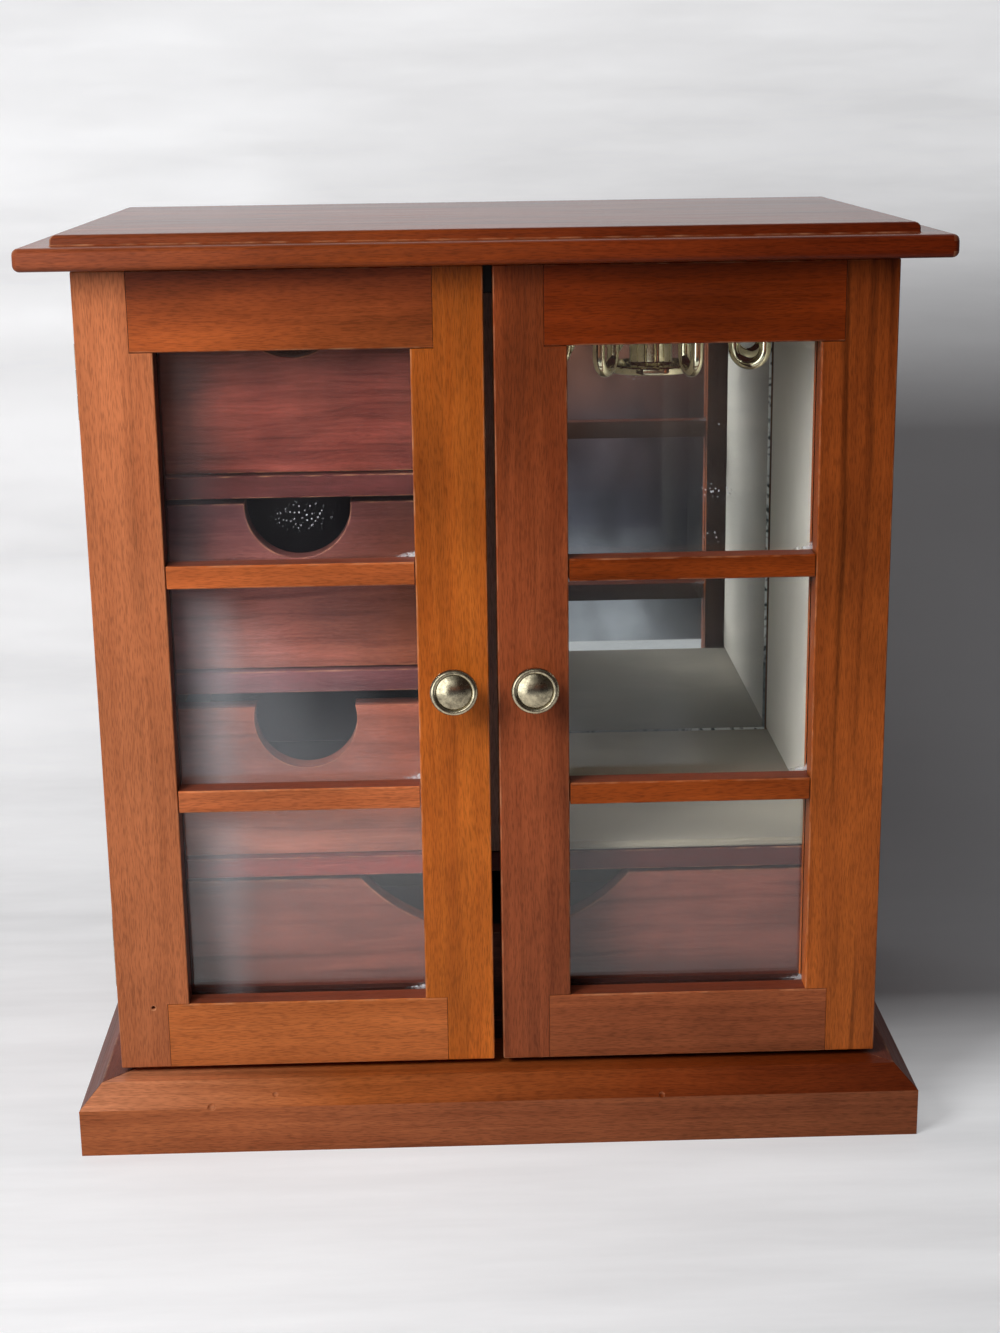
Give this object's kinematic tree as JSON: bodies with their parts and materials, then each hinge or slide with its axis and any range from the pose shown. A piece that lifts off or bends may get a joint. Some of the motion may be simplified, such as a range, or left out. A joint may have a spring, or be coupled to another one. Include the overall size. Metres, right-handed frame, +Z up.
{
  "type": "jewelry cabinet",
  "caption": "Tabletop cherry-wood jewelry cabinet with glazed double doors, drawers with finger scoops, a mirrored hanging bay and a turning hook carousel.",
  "frame": {"origin": "middle of the footprint, on the surface that the cabinet stands on", "axes": "+Z up, -Y out of the front with the doors, +X to the right seen from the front"},
  "size_m": [0.2788, 0.171, 0.2961],
  "materials": {
    "frame_wood": "satin lacquered cherry",
    "top_wood": "satin lacquered cherry",
    "case_wood": "satin lacquered cherry",
    "drawer_wood": "satin lacquered cherry",
    "inner_board": "plain board",
    "cream_velvet": "short pile velvet",
    "door_glass": "clear",
    "mirror": "silvered glass",
    "aged_brass": "aged",
    "plated_brass": "polished plating",
    "black_plastic": "moulded"
  },
  "bodies": {
    "cabinet": {"base_plinth": "frame_wood", "bottom_board": "case_wood", "left_side_panel": "case_wood", "right_side_panel": "case_wood", "back_panel": "inner_board", "ceiling_board": "case_wood", "top_board": "top_wood", "centre_partition": "case_wood", "lower_shelf": "case_wood", "upper_drawer_divider": "case_wood", "lower_drawer_divider": "case_wood", "mirror": "mirror", "compartment_lining": "cream_velvet", "magnetic_catch": "black_plastic", "carousel_spindle": "aged_brass", "left_upper_hinge_case_leaf": "aged_brass", "left_lower_hinge_case_leaf": "aged_brass", "right_upper_hinge_case_leaf": "aged_brass", "right_lower_hinge_case_leaf": "aged_brass"},
    "left_door": {"left_door_outer_stile": "frame_wood", "left_door_inner_stile": "frame_wood", "left_door_top_rail": "frame_wood", "left_door_bottom_rail": "frame_wood", "left_door_upper_muntin": "frame_wood", "left_door_lower_muntin": "frame_wood", "left_door_glass": "door_glass", "left_door_knob": "aged_brass", "left_upper_hinge_door_leaf": "aged_brass", "left_lower_hinge_door_leaf": "aged_brass"},
    "right_door": {"right_door_outer_stile": "frame_wood", "right_door_inner_stile": "frame_wood", "right_door_top_rail": "frame_wood", "right_door_bottom_rail": "frame_wood", "right_door_upper_muntin": "frame_wood", "right_door_lower_muntin": "frame_wood", "right_door_glass": "door_glass", "right_door_knob": "aged_brass", "right_upper_hinge_door_leaf": "aged_brass", "right_lower_hinge_door_leaf": "aged_brass"},
    "top_drawer": {"top_drawer_front": "drawer_wood", "top_drawer_left_side": "inner_board", "top_drawer_right_side": "inner_board", "top_drawer_back": "inner_board", "top_drawer_bottom": "inner_board"},
    "middle_drawer": {"middle_drawer_front": "drawer_wood", "middle_drawer_left_side": "inner_board", "middle_drawer_right_side": "inner_board", "middle_drawer_back": "inner_board", "middle_drawer_bottom": "inner_board"},
    "lower_drawer": {"lower_drawer_front": "drawer_wood", "lower_drawer_left_side": "inner_board", "lower_drawer_right_side": "inner_board", "lower_drawer_back": "inner_board", "lower_drawer_bottom": "inner_board"},
    "wide_drawer": {"wide_drawer_front": "drawer_wood", "wide_drawer_left_side": "inner_board", "wide_drawer_right_side": "inner_board", "wide_drawer_back": "inner_board", "wide_drawer_bottom": "inner_board"},
    "carousel": {"carousel_hook_wheel": "plated_brass"}
  },
  "joints": [
    {"name": "left_door_hinge", "type": "hinge", "parent": "cabinet", "child": "left_door", "pos_m": [-0.12635, -0.0561, 0.155], "axis": [0, 0, -1], "range_deg": [0, 180]},
    {"name": "right_door_hinge", "type": "hinge", "parent": "cabinet", "child": "right_door", "pos_m": [0.12635, -0.0561, 0.155], "axis": [0, 0, 1], "range_deg": [0, 180]},
    {"name": "top_drawer_slide", "type": "slide", "parent": "cabinet", "child": "top_drawer", "axis": [0, -1, 0], "range_m": [0, 0.0786]},
    {"name": "middle_drawer_slide", "type": "slide", "parent": "cabinet", "child": "middle_drawer", "axis": [0, -1, 0], "range_m": [0, 0.0786]},
    {"name": "lower_drawer_slide", "type": "slide", "parent": "cabinet", "child": "lower_drawer", "axis": [0, -1, 0], "range_m": [0, 0.0786]},
    {"name": "wide_drawer_slide", "type": "slide", "parent": "cabinet", "child": "wide_drawer", "axis": [0, -1, 0], "range_m": [0, 0.0786]},
    {"name": "carousel_spin", "type": "hinge", "parent": "cabinet", "child": "carousel", "pos_m": [0.05738, 0.01155, 0.26], "axis": [0, 0, 1], "continuous": true}
  ],
  "couplings": [
    {"joint": "right_door_hinge", "follows": "left_door_hinge", "ratio": 1},
    {"joint": "top_drawer_slide", "follows": "left_door_hinge", "m_per_rad": 0.025},
    {"joint": "middle_drawer_slide", "follows": "left_door_hinge", "m_per_rad": 0.025},
    {"joint": "lower_drawer_slide", "follows": "left_door_hinge", "m_per_rad": 0.025},
    {"joint": "wide_drawer_slide", "follows": "left_door_hinge", "m_per_rad": 0.025}
  ]
}
